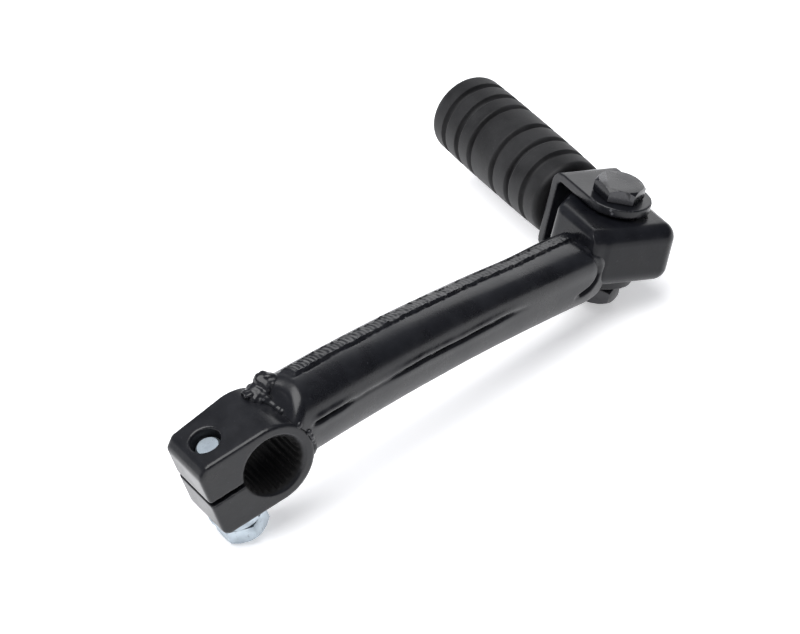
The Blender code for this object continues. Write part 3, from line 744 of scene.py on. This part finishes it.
def buildGrip():
    deep = grip["start"] + grip["length"] - grip["cap"]
    points = [(0.0, deep), (grip["bore"] - 0.4, deep), (grip["bore"], deep - 0.5)] + gripSection()
    edges = [(i, i + 1) for i in range(len(points) - 1)]
    deselectAll()
    bpy.ops.mesh.primitive_plane_add(size=1.0)
    piece = nameIt("pedalGrip")
    piece.data.clear_geometry()
    piece.data.from_pydata([(r * mm, 0, z * mm) for r, z in points], edges, [])
    takeHold(piece)
    bpy.ops.object.mode_set(mode="EDIT")
    bpy.ops.mesh.select_all(action="SELECT")
    bpy.ops.mesh.spin(steps=grip["steps"], angle=2 * math.pi, center=(0, 0, 0), axis=(0, 0, 1))
    bpy.ops.object.mode_set(mode="OBJECT")
    tidyNormals(piece)
    settle(piece, pivotPlace @ Matrix.Rotation(-math.pi / 2, 4, "X"))
    smooth(piece, 50)
    return dress(piece, rubberFinish("gripRubber"), "pedal", "rubber", "pedal_rubber")


buildGrip()
print("grip ready")

# frame nodes that keep their own shape
dressings = (
    (steelFinish("oiledSteel"), ("pivot_bush", "thrust_washer_upper", "thrust_washer_lower",
                                 "detent_ball", "detent_spring")),
    (zincFinish("zincWashers"), ("clamp_flat_washer", "clamp_lock_washer")),
    (paintFinish("smallPaint", 0.0, 0.05), ("pivot_lock_washer", "pedal_stem")))
for look, names in dressings:
    for name in names:
        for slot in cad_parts[name].material_slots:
            slot.material = look
print("frame nodes dressed")

# floor, light and camera
studio = {"floorTone": (0.93, 0.93, 0.94), "floorGlow": 0.42, "sky": (0.13, 0.40),
          "skyTint": (0.88, 0.905, 1.0, 1.0), "skyFrom": (-0.45, 0.55, 0.70),
          "key": 29.5, "keyPlace": (-0.42, -0.05, 1.2), "keySize": 1.3,
          "rim": 3.0, "rimPlace": (0.95, 1.05, 0.5), "rimSize": 0.8, "target": (70, 20, 0),
          "turn": 32.2, "tilt": 35.4, "cameraPlace": (39.19, 34.95, -1643.3), "lens": 275.1}
floorHeight = cadBox[0][2] - 0.0002
deselectAll()
bpy.ops.mesh.primitive_plane_add(size=12.0, location=(0, 0, floorHeight))
floor = nameIt("floor")
floorKit = Finish("floorPaper", Roughness=0.9, Specular_IOR_Level=0.1,
                  Emission_Color=(1.0, 1.0, 1.0, 1.0), Emission_Strength=studio["floorGlow"])
duller = tuple(c * 0.99 for c in studio["floorTone"])
tone = floorKit.tint(floorKit.grain(60.0, 2.0), studio["floorTone"], duller)
floor.data.materials.append(floorKit.feed(Base_Color=tone))

world = bpy.data.worlds.new("studio")
bpy.context.scene.world = world
world.use_nodes = True
sky = world.node_tree
ways = sky.nodes.new("ShaderNodeTexCoord")
rise = sky.nodes.new("ShaderNodeVectorMath")
rise.operation = "DOT_PRODUCT"
rise.inputs[1].default_value = studio["skyFrom"]
shade = sky.nodes.new("ShaderNodeMapRange")
shade.inputs["From Min"].default_value = -0.6
shade.inputs["To Min"].default_value = studio["sky"][0]
shade.inputs["To Max"].default_value = studio["sky"][1]
back = sky.nodes["Background"]
back.inputs["Color"].default_value = studio["skyTint"]
sky.links.new(ways.outputs["Generated"], rise.inputs[0])
sky.links.new(rise.outputs["Value"], shade.inputs["Value"])
sky.links.new(shade.outputs["Result"], back.inputs["Strength"])
target = Vector(studio["target"]) * mm


def softbox(name, place, size, power):
    lamp = bpy.data.lights.new(name, "AREA")
    lamp.energy = power
    lamp.size = size
    piece = bpy.data.objects.new(name, lamp)
    bpy.context.scene.collection.objects.link(piece)
    piece.location = target + Vector(place)
    piece.rotation_euler = (target - piece.location).to_track_quat("-Z", "Y").to_euler()
    return piece


softbox("keyLight", studio["keyPlace"], studio["keySize"], studio["key"])
softbox("rimLight", studio["rimPlace"], studio["rimSize"], studio["rim"])

turn = math.radians(studio["turn"])
tilt = math.radians(studio["tilt"])
across = Vector((math.cos(turn), -math.sin(turn), 0))
upward = Vector((math.sin(turn) * math.sin(tilt), math.cos(turn) * math.sin(tilt), math.cos(tilt)))
ahead = Vector((math.sin(turn) * math.cos(tilt), math.cos(turn) * math.cos(tilt), -math.sin(tilt)))
camera = bpy.data.objects.new("camera", bpy.data.cameras.new("camera"))
bpy.context.scene.collection.objects.link(camera)
camera.matrix_world = Matrix((
    (across.x, upward.x, -ahead.x, 0), (across.y, upward.y, -ahead.y, 0),
    (across.z, upward.z, -ahead.z, 0), (0, 0, 0, 1)))
right, high, depth = studio["cameraPlace"]
camera.location = (across * right + upward * high + ahead * depth) * mm
camera.data.sensor_width = 36.0
camera.data.lens = studio["lens"]
bpy.context.scene.camera = camera
bpy.context.scene.view_settings.view_transform = "Standard"
deselectAll()
print("stage ready")
